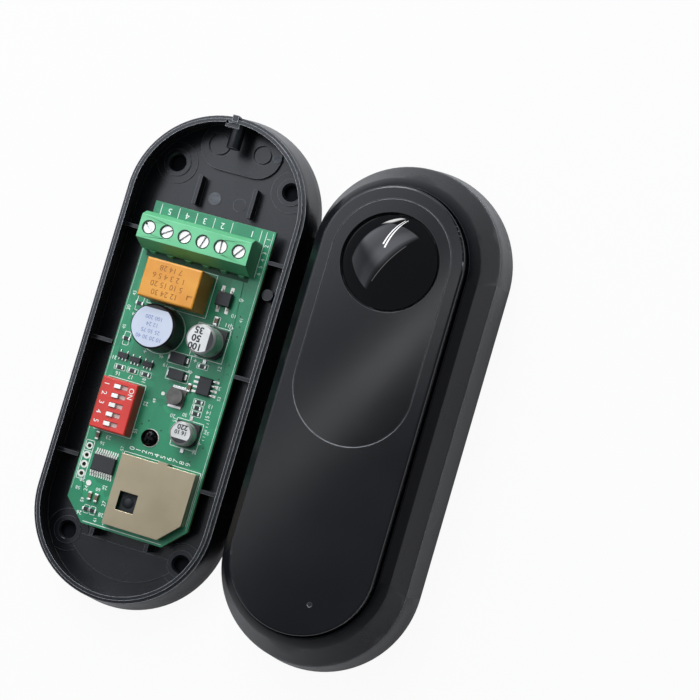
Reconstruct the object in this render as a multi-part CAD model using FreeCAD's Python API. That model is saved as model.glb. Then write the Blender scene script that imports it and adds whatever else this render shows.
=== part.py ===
import FreeCAD, Part
import math
import os

# Pair of door safety photocells lying on their backs: a receiver with its front off, so that
# its circuit board shows, and a closed emitter beside it. +Y runs along both housings, +Z to
# the front, and the origin is at the middle of the pair on the surface that the backs rest on.

# Housing outline, the same for both units
end_centre = 41.5
back_radius = 26.65
unit_gap = 0.3
unit_stagger = 0.25
rim_inset = 1.85
rim_height = 12.0
wall = 1.8
floor = 2.0
tongue_width = 0.95
tongue_height = 0.9

# Front cover, face plate, window and lens of the closed unit
front_height = 31.0
shoulder_inset = 3.0
shoulder_setback = 2.4
front_wall = 2.0
cover_fit = 0.15
ring_width = 2.3
ring_rise = 3.2
ring_land = 0.3
plate_groove = 0.2
plate_stand = 4.0
plate_bed = 1.2
plate_draft = 0.4
plate_edge = 0.6
plate_wall = 1.6
plate_top = 2.6
window_margin = 3.4
window_thickness = 1.3
window_length = 63.5
window_groove = 0.15
lens_setback = 0.9
lens_radius = 12.2
lens_rise = 4.6
lens_skirt = 1.2
lens_flange = 0.9
lens_flange_thickness = 0.8
lens_fit = 0.15
lens_bezel = 0.35
light_pipe_radius = 0.5
light_pipe_x = 5.0
light_pipe_from_end = 11.9
light_pipe_fit = 0.05
light_pipe_collar = 1.2
light_pipe_collar_thickness = 0.8
light_pipe_reach = 3.0

# Fixing holes in the back
hole_spacing_x = 33.0
hole_spacing_y = 103.5
hole_radius = 2.0
hole_boss_radius = 3.75
hole_boss_height = 0.7
hole_step_radius = 5.7
hole_step_height = 0.3
hole_chamfer = 0.6

# Cable entry at the end of the back
entry_from_end = 8.8
entry_half_spacing = 6.2
entry_pad_radius = 6.7
entry_pad_half = 4.8
entry_pad_height = 1.0
entry_radius_large = 3.2
entry_radius_small = 2.7
score_width = 0.5
score_depth = 0.7

# Boss, thick place and tab at the end wall of the cable end
end_boss_x = -0.5
end_boss_radius = 1.9
end_boss_bore = 0.9
end_boss_length = 6.8
end_boss_bore_depth = 5.0
end_boss_drop = 2.7
catch_x = -1.7
catch_width = 3.9
catch_depth = 1.2
catch_height = 2.4
catch_hole_x = -3.1
catch_hole_radius = 0.4
catch_hole_depth = 1.6
tab_x = -1.0
tab_width = 1.7
tab_depth = 1.8
tab_rise = 1.4
tab_root = 1.6
tab_overhang = 0.3

# Ribs, pegs and marks on the floor
rib_thickness = 1.0
floor_rib_x = 7.9
floor_rib_length = 8.0
floor_rib_from_board = 2.0
floor_rib_height = 4.0
side_rib_pitch = 31.4
side_rib_rise = 0.7
side_rib_seat = 1.0
stop_rib_x = 7.8
stop_rib_length = 2.0
mark_radius = 1.8
mark_height = 0.2
mark_x = 3.6
pad_mark_x = 10.4
pad_mark_radius = 1.2
peg_radius = 1.5
peg_height = 4.0
toe_radius = 19.3
toe_height = 0.4
toe_from_centre = 13.5

# Circuit board
board_width = 34.6
board_length = 88.3
board_thickness = 1.6
board_chamfer = 5.8
board_height = 8.2
board_offset = -4.45
board_fit = 0.3
board_boss_radius = 3.0
board_boss_bore = 1.1
board_screw_y = -17.4
board_screw_hole = 1.6
board_screw_head = 2.3
board_screw_head_height = 1.6
board_screw_shank = 1.05
board_screw_length = 6.0
cross_width = 0.7
cross_length = 2.6
cross_depth = 0.9
pin_hole_fit = 0.1
header_x = -15.4
header_y = -23.9
header_pitch = 2.54
header_count = 4
header_hole = 0.45
solder_tail = 1.2

# Screw terminals
pole_pitch = 5.08
pole_count = 6
emitter_pole_count = 2
terminal_x = -1.0
terminal_from_end = 8.45
terminal_end_wall = 0.3
terminal_foot_front = 5.0
terminal_foot_back = 4.4
terminal_top_front = 3.1
terminal_top_back = 3.2
terminal_height = 10.0
terminal_sill = 3.2
terminal_brow = 7.4
screw_well_radius = 1.8
entry_width = 3.7
entry_floor = 1.4
entry_head = 6.6
chamber_depth = 6.6
foot_notch_width = 2.2
foot_notch_height = 1.6
foot_notch_depth = 1.0
clamp_wall = 0.5
clamp_fit = 0.1
clamp_height = 3.4
clamp_travel = 1.5
screw_head_radius = 1.65
screw_head_height = 1.5
screw_shank_radius = 1.0
screw_recess = 0.5
screw_fit = 0.1
shank_fit = 0.06
slot_width = 0.55
slot_depth = 0.7
slot_turns = (-39, 33, 48, 73, 94, 53)
pin_radius = 0.5

# Relay
relay_width = 15.5
relay_depth = 10.5
relay_height = 12.0
relay_x = -3.2
relay_y = 23.0
relay_gap = 2.45
relay_edge = 0.5
relay_nib_width = 1.5
relay_nib_depth = 1.2
relay_nib_height = 0.3
relay_pin_spacing_x = 12.4
relay_pin_spacing_y = 7.6
relay_lift = 0.3

# Buzzer
buzzer_x = -5.3
buzzer_y = 11.0
buzzer_radius = 6.0
buzzer_height = 9.4
buzzer_edge = 0.5
buzzer_port_radius = 1.2
buzzer_port_depth = 1.5
seal_radius = 5.6
seal_thickness = 0.15
seal_flat = 4.6

# Electrolytic capacitors: position, can radius, can height, base side
large_capacitor = (8.5, 11.2, 4.0, 9.0, 8.3)
small_capacitor = (9.5, -13.8, 3.15, 5.0, 6.6)
capacitor_base_height = 1.2
capacitor_corner = 1.6
capacitor_edge = 0.5
capacitor_neck_drop = 1.1
capacitor_neck_height = 0.6
capacitor_neck_depth = 0.35

# Five-way slide switch
dip_width = 10.1
dip_length = 13.9
dip_height = 5.4
dip_x = -10.45
dip_y = -11.8
dip_pitch = 2.54
dip_count = 5
dip_slot_width = 1.3
dip_slot_length = 3.8
dip_slot_depth = 1.6
dip_knob_length = 1.8
dip_knob_rise = 0.6
dip_knob_fit = 0.1
dip_slot_offset = 0.55
dip_edge = 0.3
dip_pin_spacing = 7.62
dip_pin_radius = 0.3

# Integrated circuits: x, y, body width, body length, height
microcontroller = (-10.0, -27.6, 6.5, 4.4, 1.1)
microcontroller_lead_count = 10
microcontroller_pitch = 0.65
comparator = (10.6, -0.3, 3.9, 4.9, 1.5)
comparator_lead_count = 4
comparator_pitch = 1.27
optocoupler = (9.0, 23.3, 4.4, 3.9, 2.1)
optocoupler_lead_count = 2
optocoupler_pitch = 2.54
lead_width = 0.3
lead_reach = 1.0
lead_thickness = 0.2
chip_lift = 0.1
chip_draft = 0.25

# Small parts on the board, as centres and sizes
diode_size = (4.3, 2.6, 2.1)
diode_places = ((1.6, 4.9), (2.4, 0.6))
transistor_size = (2.9, 1.4, 1.0)
transistor_places = ((-13.5, 1.7), (-9.9, 1.4), (-6.2, 1.2))
resistor_size = (1.6, 0.85, 0.5)
resistor_places = (
    (-13.6, -1.6), (-9.9, -1.6), (-6.1, -1.6), (8.3, 4.6), (10.2, -4.7), (10.2, -6.3),
    (10.2, -7.9), (-13.4, 16.3), (-14.1, 6.3),
)
low_resistor_places = ((-11.2, -40.2), (-9.4, -40.2))
ceramic_size = (0.9, 1.7, 0.9)
ceramic_places = ((8.5, 17.2), (-13.9, -20.6), (6.6, -1.7))
low_ceramic_places = ((-11.2, -36.6), (-9.3, -36.7))
inductor_x = 4.0
inductor_y = -5.0
inductor_radius = 2.2
inductor_height = 3.0
inductor_base = 4.6
inductor_base_height = 0.6
inductor_waist = 0.45

# Shield over the light receiver
shield_left = -5.0
shield_top = -23.1
shield_width = 21.0
shield_length = 19.3
shield_height = 3.5
shield_sheet = 0.3
shield_corner = 5.2
shield_window = 5.0
shield_tab_x = 6.5
shield_tab_width = 2.9
shield_tab_depth = 0.6
optical_y = -35.3
sensor_size = (4.4, 5.0, 1.9)
sensor_lens_radius = 1.6
sensor_lens_rise = 0.6

# Emitter diode and its driver
diode_radius = 2.5
diode_flange_radius = 2.9
diode_flange_height = 1.0
diode_barrel_height = 6.2
driver_places = ((0.0, 6.0), (-7.5, 6.0), (7.5, 6.0), (0.0, 18.0))
driver_size = (3.0, 1.7, 1.4)

# Sizes that follow from the ones above
unit_shift = back_radius + unit_gap / 2
rim_radius = back_radius - rim_inset
shoulder_radius = rim_radius - shoulder_inset
shoulder_centre = end_centre - shoulder_setback
ring_top = front_height - plate_stand
shoulder_height = ring_top - ring_rise
plate_radius = shoulder_radius - ring_width - ring_land - plate_groove
plate_seat = ring_top - plate_bed
window_radius = plate_radius - plate_draft - window_margin
window_seat = front_height - window_thickness
window_low = shoulder_centre + 2 * window_radius - window_length
lens_axis = shoulder_centre - lens_setback
light_pipe_y = light_pipe_from_end - shoulder_centre - shoulder_radius
terminal_y = board_length / 2 - terminal_from_end
relay_seat_y = terminal_y - terminal_foot_front - relay_gap - relay_depth / 2
upper_parts_y = relay_seat_y - relay_y
emitter_optical_y = -lens_axis - board_offset
board_top = board_height
board_bottom = board_height - board_thickness
entry_y = end_centre + back_radius - entry_from_end
pole_half = pole_pitch / 2


def vec(x, y, z):
    return FreeCAD.Vector(x, y, z)


def block(x, y, z, width, length, height):
    """A box centred on x, y that stands on z."""
    return Part.makeBox(width, length, height, vec(x - width / 2, y - length / 2, z))


def rod(x, y, z, radius, height):
    """An upright cylinder that stands on z."""
    return Part.makeCylinder(radius, height, vec(x, y, z))


def obround_wire(centre, radius, z, low=None):
    """An obround along Y whose end arcs are centred at +centre and at low."""
    low = -centre if low is None else low
    right_low = vec(radius, low, z)
    right_high = vec(radius, centre, z)
    left_high = vec(-radius, centre, z)
    left_low = vec(-radius, low, z)
    top = Part.Arc(right_high, vec(0, centre + radius, z), left_high).toShape()
    bottom = Part.Arc(left_low, vec(0, low - radius, z), right_low).toShape()
    right = Part.makeLine(right_low, right_high)
    left = Part.makeLine(left_high, left_low)
    return Part.Wire([right, top, left, bottom])


def obround_prism(centre, radius, z, height, low=None):
    face = Part.Face(obround_wire(centre, radius, z, low))
    return face.extrude(vec(0, 0, height))


def obround_taper(sections):
    """A straight-sided loft through (centre, radius, z) outlines."""
    return Part.makeLoft([obround_wire(*section) for section in sections], True, True)


def polygon_prism(points, z, height):
    corners = [vec(x, y, z) for x, y in points]
    return Part.Face(Part.makePolygon(corners + corners[:1])).extrude(vec(0, 0, height))


def profile_along_x(points, x, width):
    """A prism along X from a profile of (y, z) points."""
    corners = [vec(x, y, z) for y, z in points]
    return Part.Face(Part.makePolygon(corners + corners[:1])).extrude(vec(width, 0, 0))


def turned(points, x, y):
    """A turned piece about an upright axis, from (radius, z) points."""
    corners = [vec(r, 0, z) for r, z in points]
    face = Part.Face(Part.makePolygon(corners + corners[:1]))
    solid = face.revolve(vec(0, 0, 0), vec(0, 0, 1), 360)
    solid.translate(vec(x, y, 0))
    return solid


def on_board(x, y):
    """Board coordinates, from the middle of the board, in the unit's own frame."""
    return x, y + board_offset


def by_terminal(x, y):
    """Coordinates of the parts that keep their distance to the terminal row."""
    return on_board(x, y + upper_parts_y)


def outer_radius(z):
    """Radius of the back shell's end at height z."""
    return back_radius + (rim_radius - back_radius) * z / rim_height


def rear_shell():
    """Tapered tray with a tongue round its rim, fixing holes, cable entry and ribs."""
    body = obround_taper([(end_centre, back_radius, 0), (end_centre, rim_radius, rim_height)])
    tongue_radius = rim_radius - wall + tongue_width
    body = body.fuse(obround_prism(end_centre, tongue_radius, rim_height - floor,
                                   floor + tongue_height))
    hollow = obround_taper([
        (end_centre, outer_radius(floor) - wall, floor),
        (end_centre, rim_radius - wall, rim_height),
    ])
    throat = obround_prism(end_centre, rim_radius - wall, rim_height - floor,
                           2 * floor + tongue_height)
    body = body.cut(hollow.fuse(throat))
    space = hollow.fuse(throat)
    inside = [entry_pad(), end_boss_body(), end_catch()]
    inside += [hole_boss(x, y) for x, y in fixing_places()]
    inside += floor_ribs() + side_ribs() + stop_ribs() + floor_marks()
    inside += [board_boss(), toe_pad()]
    body = body.multiFuse([piece.common(space) for piece in inside])
    for cut in [fixing_hole(x, y) for x, y in fixing_places()] + entry_scores() + end_cuts():
        body = body.cut(cut)
    return body.removeSplitter()


def fixing_places():
    x, y = hole_spacing_x / 2, hole_spacing_y / 2
    return [(-x, -y), (x, -y), (-x, y), (x, y)]


def hole_boss(x, y):
    step = rod(x, y, 0, hole_step_radius, floor + hole_step_height)
    return step.fuse(rod(x, y, 0, hole_boss_radius, floor + hole_boss_height))


def fixing_hole(x, y):
    top = floor + hole_boss_height
    rim = hole_radius + hole_chamfer
    return turned([
        (0, -floor), (hole_radius, -floor), (hole_radius, top - hole_chamfer),
        (rim, top), (rim, top + floor), (0, top + floor),
    ], x, y)


def entry_pad():
    pad = obround_prism(entry_pad_half, entry_pad_radius, 0, floor + entry_pad_height)
    pad.rotate(vec(0, 0, 0), vec(0, 0, 1), 90)
    pad.translate(vec(0, entry_y, 0))
    return pad


def entry_scores():
    """Ring grooves that let the two cable knock-outs break out."""
    top = floor + entry_pad_height
    scores = []
    for x, radius in ((-entry_half_spacing, entry_radius_large),
                      (entry_half_spacing, entry_radius_small)):
        ring = rod(x, entry_y, top - score_depth, radius, 2 * score_depth)
        core = rod(x, entry_y, top - score_depth, radius - score_width, 2 * score_depth)
        scores.append(ring.cut(core))
    return scores


def end_boss_axis():
    return rim_height - end_boss_drop


def end_boss_body():
    """Round boss on the inside of the end wall, on the parting line's side."""
    start = end_centre + outer_radius(end_boss_axis()) - wall - end_boss_length
    length = end_boss_length + wall
    return Part.makeCylinder(end_boss_radius, length, vec(end_boss_x, start, end_boss_axis()),
                             vec(0, 1, 0))


def end_catch():
    """Thick place of the end wall above the boss."""
    y = end_centre + rim_radius - wall - catch_depth
    return Part.makeBox(catch_width, catch_depth + wall, catch_height,
                        vec(catch_x - catch_width / 2, y, rim_height - catch_height))


def end_tab():
    """Small tab that stands on the opened unit's rim, over the boss."""
    outer = end_centre + rim_radius + tab_overhang
    return Part.makeBox(tab_width, tab_depth, tab_root + tab_rise,
                        vec(tab_x - tab_width / 2, outer - tab_depth, rim_height - tab_root))


def end_cuts():
    """Bore of the boss, and the small hole beside the tab."""
    start = end_centre + outer_radius(end_boss_axis()) - wall - end_boss_length
    bore = Part.makeCylinder(end_boss_bore, end_boss_bore_depth + wall,
                             vec(end_boss_x, start - wall, end_boss_axis()), vec(0, 1, 0))
    y = end_centre + rim_radius - wall
    hole = rod(catch_hole_x, y, rim_height - catch_hole_depth, catch_hole_radius, rim_height)
    return [bore, hole]


def floor_ribs():
    y = board_offset + board_length / 2 + floor_rib_from_board + floor_rib_length / 2
    return [block(side * floor_rib_x, y, 0, rib_thickness, floor_rib_length,
                  floor + floor_rib_height) for side in (-1, 1)]


def side_ribs():
    """Stepped ribs that carry the board's long edges and hold them sideways."""
    ribs = []
    for side in (-1, 1):
        for row in (-1, 0, 1):
            y = row * side_rib_pitch
            far = side * back_radius
            for near, top in ((board_width / 2 - side_rib_seat, board_bottom),
                              (board_width / 2 + board_fit, board_top + side_rib_rise)):
                edge = side * near
                ribs.append(block((edge + far) / 2, y, 0, abs(far - edge), rib_thickness, top))
    return ribs


def stop_ribs():
    """Two short ribs beyond the board's lower edge."""
    y = board_offset - board_length / 2 - board_fit - stop_rib_length / 2
    return [block(side * stop_rib_x, y, 0, rib_thickness, stop_rib_length,
                  board_top + side_rib_rise) for side in (-1, 1)]


def board_boss():
    x, y = on_board(0, board_screw_y)
    boss = rod(x, y, 0, board_boss_radius, board_bottom)
    bore = rod(x, y, board_bottom - board_screw_length, board_boss_bore, board_screw_length)
    peg = rod(board_width / 2 + board_fit + peg_radius, floor_peg_y(), 0, peg_radius,
              floor + peg_height)
    return boss.cut(bore).fuse(peg)


def floor_peg_y():
    return board_offset + board_length / 2 - hole_spacing_x / 2


def floor_marks():
    """Round ejector marks between the ribs, and a smaller one on the pad."""
    y = board_offset + board_length / 2 + floor_rib_from_board + floor_rib_length / 2
    marks = [rod(side * mark_x, y - mark_radius / 2, 0, mark_radius, floor + mark_height)
             for side in (-1, 1)]
    pad_top = floor + entry_pad_height
    return marks + [rod(pad_mark_x, entry_y, 0, pad_mark_radius, pad_top + mark_height)]


def toe_pad():
    """Shallow step of the floor beyond the board, cut off straight on the board's side."""
    disc = rod(0, -end_centre, 0, toe_radius, floor + toe_height)
    keep = block(0, -end_centre - toe_from_centre / 2 - toe_radius / 2, 0, 2 * toe_radius,
                 toe_radius - toe_from_centre / 2, floor + toe_height)
    return disc.common(keep)


def board_outline():
    half_w, half_l = board_width / 2, board_length / 2
    cut = board_chamfer
    return [
        (-half_w, half_l + board_offset), (-half_w, cut - half_l + board_offset),
        (cut - half_w, board_offset - half_l), (half_w - cut, board_offset - half_l),
        (half_w, cut - half_l + board_offset), (half_w, half_l + board_offset),
    ]


def drilled_board(pins):
    """A board with its screw hole, and a hole for each (x, y, radius) pin."""
    board = polygon_prism(board_outline(), board_bottom, board_thickness)
    x, y = on_board(0, board_screw_y)
    holes = [rod(x, y, board_bottom, board_screw_hole, board_thickness)]
    holes += [rod(px, py, board_bottom, radius + pin_hole_fit, board_thickness)
              for px, py, radius in pins]
    return board.cut(Part.makeCompound(holes))


def board_screw():
    """Cross-recessed pan screw, its head on the board."""
    x, y = on_board(0, board_screw_y)
    top = board_top + board_screw_head_height
    dome = Part.makeSphere(board_screw_head * 1.3, vec(x, y, top - board_screw_head * 1.3))
    head = rod(x, y, board_top, board_screw_head, board_screw_head_height).common(dome)
    shank = rod(x, y, board_top - board_screw_length, board_screw_shank, board_screw_length)
    cross = block(x, y, top - cross_depth, cross_width, cross_length, cross_depth)
    cross = cross.fuse(block(x, y, top - cross_depth, cross_length, cross_width, cross_depth))
    return head.fuse(shank).cut(cross).removeSplitter()


def pole_places(count, x, y):
    """Axes of the clamp screws, in the unit's frame."""
    first = x - (count - 1) * pole_half
    return [on_board(first + index * pole_pitch, y) for index in range(count)]


def clamp_low():
    """Height of a clamp's underside when it is open."""
    return board_top + entry_floor + clamp_fit


def terminal_block(count, x, y):
    """Moulded block with a wire chamber, a screw well and a foot notch for each pole."""
    mid_x, mid_y = on_board(x, y)
    length = count * pole_pitch + 2 * terminal_end_wall
    z = board_top
    body = profile_along_x([
        (mid_y - terminal_foot_front, z), (mid_y - terminal_foot_front, z + terminal_sill),
        (mid_y - terminal_top_front, z + terminal_height),
        (mid_y + terminal_top_back, z + terminal_height),
        (mid_y + terminal_foot_back, z + terminal_brow), (mid_y + terminal_foot_back, z),
    ], mid_x - length / 2, length)
    cuts = []
    for px, py in pole_places(count, x, y):
        cuts.append(rod(px, py, screw_ledge(), screw_well_radius, terminal_height))
        cuts.append(rod(px, py, z + entry_floor, screw_shank_radius + shank_fit,
                        terminal_height))
        back = py + terminal_foot_back
        cuts.append(block(px, back - chamber_depth / 2, z + entry_floor, entry_width,
                          chamber_depth, entry_head - entry_floor))
        cuts.append(block(px, py - terminal_foot_front, z, foot_notch_width,
                          2 * foot_notch_depth, foot_notch_height))
    return body.cut(Part.makeCompound(cuts)).removeSplitter()


def screw_ledge():
    """Height of the ledge in the well that the screw's head turns on."""
    return board_top + terminal_height - screw_recess - screw_head_height


def terminal_screw(x, y, turn):
    """Slotted clamp screw, held in its well and turned from the front."""
    top = screw_ledge() + screw_head_height
    head = rod(x, y, screw_ledge(), screw_head_radius, screw_head_height)
    foot = clamp_low() + clamp_wall + clamp_travel + screw_fit
    shank = rod(x, y, foot, screw_shank_radius, screw_ledge() - foot)
    reach = 2 * (screw_head_radius + slot_width)
    slot = block(x, y, top - slot_depth, reach, slot_width, slot_depth)
    slot.rotate(vec(x, y, 0), vec(0, 0, 1), turn)
    return head.fuse(shank).cut(slot).removeSplitter()


def terminal_clamp(x, y):
    """Square metal cage that the screw draws up against the wire."""
    width = entry_width - 2 * clamp_fit
    cage = block(x, y, clamp_low(), width, width, clamp_height)
    opening = block(x, y, clamp_low() + clamp_wall, width - 2 * clamp_wall, width,
                    clamp_height - 2 * clamp_wall)
    thread = rod(x, y, clamp_low() + clamp_height / 2, screw_shank_radius + shank_fit,
                 clamp_height)
    return cage.cut(opening).cut(thread)


def upright_pins(places, radius):
    """Solder pins that pass through the board and end below it."""
    length = board_thickness + solder_tail
    return Part.makeCompound([rod(x, y, board_top - length, radius, length)
                              for x, y in places])


def relay_pin_places():
    half_x, half_y = relay_pin_spacing_x / 2, relay_pin_spacing_y / 2
    return [by_terminal(relay_x + sx * half_x, relay_y + sy * half_y)
            for sx in (-1, 0, 1) for sy in (-1, 1)]


def relay_case():
    x, y = by_terminal(relay_x, relay_y)
    body = block(x, y, board_top, relay_width, relay_depth, relay_height)
    upper = [edge for edge in body.Edges if edge.BoundBox.ZMin > board_top + relay_height / 2]
    body = body.makeFillet(relay_edge, upper)
    nib = block(x + relay_width / 2 - relay_nib_width, y - relay_depth / 4,
                board_top + relay_height - relay_nib_height,
                relay_nib_width, relay_nib_depth, relay_nib_height)
    return body.cut(nib)


def buzzer_body():
    x, y = by_terminal(buzzer_x, buzzer_y)
    top = board_top + buzzer_height
    return turned([
        (0, board_top), (buzzer_radius, board_top), (buzzer_radius, top - buzzer_edge),
        (buzzer_radius - buzzer_edge, top), (buzzer_port_radius, top),
        (buzzer_port_radius, top - buzzer_port_depth), (0, top - buzzer_port_depth),
    ], x, y)


def buzzer_seal():
    """Paper disc over the sound port, with one straight edge."""
    x, y = by_terminal(buzzer_x, buzzer_y)
    top = board_top + buzzer_height
    disc = rod(x, y, top, seal_radius, seal_thickness)
    keep = block(x, y + (seal_flat - seal_radius) / 2, top, 2 * seal_radius,
                 seal_radius + seal_flat, seal_thickness)
    return disc.common(keep)


def capacitor_can(size):
    """Aluminium can with the rolled neck above its seat."""
    x, y, radius, height, _ = size
    x, y = by_terminal(x, y)
    low = board_top + capacitor_base_height
    top = low + height
    neck = low + capacitor_neck_drop
    return turned([
        (0, low), (radius, low), (radius, neck),
        (radius - capacitor_neck_depth, neck + capacitor_neck_height / 2),
        (radius, neck + capacitor_neck_height), (radius, top - capacitor_edge),
        (radius - capacitor_edge, top), (0, top),
    ], x, y)


def capacitor_base(size):
    """Square seat with two cut corners."""
    x, y, _, _, side = size
    x, y = by_terminal(x, y)
    half, cut = side / 2, side / 2 - capacitor_corner
    return polygon_prism([
        (x - half, y + half), (x - half, y - cut), (x - cut, y - half),
        (x + cut, y - half), (x + half, y - cut), (x + half, y + half),
    ], board_top, capacitor_base_height)


def dip_places():
    """Middle of each slide's slot, from the first switch down."""
    x, y = by_terminal(dip_x, dip_y)
    first = y + (dip_count - 1) * dip_pitch / 2
    return [(x + dip_slot_offset, first - index * dip_pitch) for index in range(dip_count)]


def dip_pin_places():
    x, _ = by_terminal(dip_x, dip_y)
    return [(x + side * dip_pin_spacing / 2, y) for _, y in dip_places() for side in (-1, 1)]


def dip_housing():
    x, y = by_terminal(dip_x, dip_y)
    body = block(x, y, board_top, dip_width, dip_length, dip_height)
    upper = [edge for edge in body.Edges if edge.BoundBox.ZMin > board_top + dip_height / 2]
    body = body.makeChamfer(dip_edge, upper)
    top = board_top + dip_height
    slots = [block(sx, sy, top - dip_slot_depth, dip_slot_length, dip_slot_width,
                   dip_slot_depth) for sx, sy in dip_places()]
    return body.cut(Part.makeCompound(slots))


def dip_slider(x, y):
    """Knob of one switch, at the left end of its slot."""
    top = board_top + dip_height
    left = x - dip_slot_length / 2 + dip_knob_fit
    return block(left + dip_knob_length / 2, y, top - dip_slot_depth,
                 dip_knob_length, dip_slot_width - 2 * dip_knob_fit,
                 dip_slot_depth + dip_knob_rise)


def chip_body(chip, place):
    """Moulded package with drafted sides."""
    x, y, width, length, height = chip
    x, y = place(x, y)
    low = board_top + chip_lift
    half_w, half_l = width / 2, length / 2
    rings = []
    for inset, z in ((chip_draft, low), (0, low + height / 2), (chip_draft, low + height)):
        w, l = half_w - inset, half_l - inset
        corners = [vec(x - w, y - l, z), vec(x + w, y - l, z),
                   vec(x + w, y + l, z), vec(x - w, y + l, z)]
        rings.append(Part.makePolygon(corners + corners[:1]))
    return Part.makeLoft(rings, True, True)


def chip_leads(chip, place, count, pitch, quarter):
    """Bent leads along two sides of a package, on its ends or a quarter turn on."""
    x, y, width, length, height = chip
    x, y = place(x, y)
    half = (width if quarter else length) / 2
    mid = board_top + chip_lift + height / 2 - lead_thickness / 2
    outline = [
        (half, mid), (half + lead_reach / 2, mid), (half + lead_reach / 2, board_top),
        (half + lead_reach, board_top), (half + lead_reach, board_top + lead_thickness),
        (half + lead_reach / 2 + lead_thickness, board_top + lead_thickness),
        (half + lead_reach / 2 + lead_thickness, mid + lead_thickness),
        (half, mid + lead_thickness),
    ]
    leads = []
    for index in range(count):
        along = (index - (count - 1) / 2) * pitch
        for turn in (0, 180):
            lead = profile_along_x(outline, along - lead_width / 2, lead_width)
            lead.rotate(vec(0, 0, 0), vec(0, 0, 1), turn + quarter)
            lead.translate(vec(x, y, 0))
            leads.append(lead)
    return leads


def small_parts(centres, size, place):
    width, length, height = size
    return [block(*place(x, y), board_top, width, length, height) for x, y in centres]


def inductor():
    """Wound drum on a square foot."""
    x, y = by_terminal(inductor_x, inductor_y)
    low = board_top + inductor_base_height
    top = board_top + inductor_height
    mid = (low + top) / 2
    drum = turned([
        (0, low), (inductor_radius, low), (inductor_radius - inductor_waist, mid),
        (inductor_radius, top), (0, top),
    ], x, y)
    foot = block(x, y, board_top, inductor_base, inductor_base, inductor_base_height)
    return drum.fuse(foot).removeSplitter()


def shield_can():
    """Folded sheet box, open below, with one cut corner and a square window."""
    left, top = on_board(shield_left, shield_top)
    right, low = left + shield_width, top - shield_length

    def outline(inset):
        slope = inset * (math.sqrt(2) - 1)
        return [
            (left + inset, top - inset), (left + inset, low + inset),
            (right - shield_corner - slope, low + inset),
            (right - inset, low + shield_corner + slope), (right - inset, top - inset),
        ]

    can = polygon_prism(outline(0), board_top, shield_height)
    can = can.cut(polygon_prism(outline(shield_sheet), board_top, shield_height - shield_sheet))
    tab = block(on_board(shield_tab_x, 0)[0], top + shield_tab_depth / 2, board_top,
                shield_tab_width, shield_tab_depth, shield_height)
    x, y = on_board(0, optical_y)
    window = block(x, y, board_top, shield_window, shield_window, shield_height)
    return can.fuse(tab).cut(window).removeSplitter()


def ir_receiver():
    """Light sensor below the window of the shield."""
    x, y = on_board(0, optical_y)
    width, length, height = sensor_size
    body = block(x, y, board_top, width, length, height)
    ball = (sensor_lens_radius ** 2 + sensor_lens_rise ** 2) / (2 * sensor_lens_rise)
    top = board_top + height
    cap = Part.makeSphere(ball, vec(x, y, top + sensor_lens_rise - ball))
    cap = cap.common(rod(x, y, top, sensor_lens_radius, sensor_lens_rise))
    return body.fuse(cap)


def emitter_diode():
    """Round diode on the lens axis, pointing forward."""
    x, y = on_board(0, emitter_optical_y)
    flange_top = board_top + diode_flange_height
    barrel_top = flange_top + diode_barrel_height
    body = rod(x, y, board_top, diode_flange_radius, diode_flange_height)
    body = body.fuse(rod(x, y, flange_top, diode_radius, diode_barrel_height))
    return body.fuse(Part.makeSphere(diode_radius, vec(x, y, barrel_top))).removeSplitter()


def front_cover():
    """Deep tapered cover with a sloped ring round the seat of the face plate."""
    flank = obround_taper([
        (end_centre, rim_radius, rim_height), (shoulder_centre, shoulder_radius, shoulder_height),
    ])
    ring = obround_taper([
        (shoulder_centre, shoulder_radius, shoulder_height),
        (shoulder_centre, plate_radius + plate_groove + ring_land, ring_top),
    ])
    body = flank.fuse(ring)
    hollow = obround_taper([
        (end_centre, rim_radius - wall, rim_height),
        (shoulder_centre, shoulder_radius - wall, plate_seat - front_wall),
    ])
    rebate = obround_prism(end_centre, rim_radius - wall + tongue_width + cover_fit,
                           rim_height, tongue_height + cover_fit)
    seat = obround_prism(shoulder_centre, plate_radius + plate_groove, plate_seat,
                         front_height)
    for space in (hollow, rebate, seat, lens_bore(), light_pipe_bore()):
        body = body.cut(space)
    return body


def lens_bore():
    """Room for the lens and its flange through the cover and the plate."""
    return rod(0, lens_axis, rim_height, lens_radius + lens_flange + lens_fit, front_height)


def light_pipe_bore():
    return rod(light_pipe_x, light_pipe_y, rim_height, light_pipe_radius + light_pipe_fit,
               front_height)


def face_plate():
    """Glossy cap that stands out of the ring, with a pocket for the window panel."""
    top_radius = plate_radius - plate_draft
    plate = obround_taper([
        (shoulder_centre, plate_radius, plate_seat), (shoulder_centre, top_radius, front_height),
    ])
    upper = [edge for edge in plate.Edges if edge.BoundBox.ZMin > window_seat]
    plate = plate.makeFillet(plate_edge, upper)
    hollow = obround_prism(shoulder_centre, plate_radius - plate_wall, plate_seat,
                           front_height - plate_top - plate_seat)
    pocket = obround_prism(shoulder_centre, window_radius + window_groove, window_seat,
                           front_height, window_low)
    for space in (hollow, pocket, lens_bore(), light_pipe_bore()):
        plate = plate.cut(space)
    return plate


def window_panel():
    """Inset obround panel with a bevelled hole round the lens."""
    panel = obround_prism(shoulder_centre, window_radius, window_seat, window_thickness,
                          window_low)
    hole = lens_radius + lens_fit
    bevel = turned([
        (0, 0), (hole, 0), (hole, front_height - lens_bezel),
        (hole + lens_bezel, front_height), (hole + lens_bezel, 2 * front_height),
        (0, 2 * front_height),
    ], 0, lens_axis)
    return panel.cut(bevel)


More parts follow.
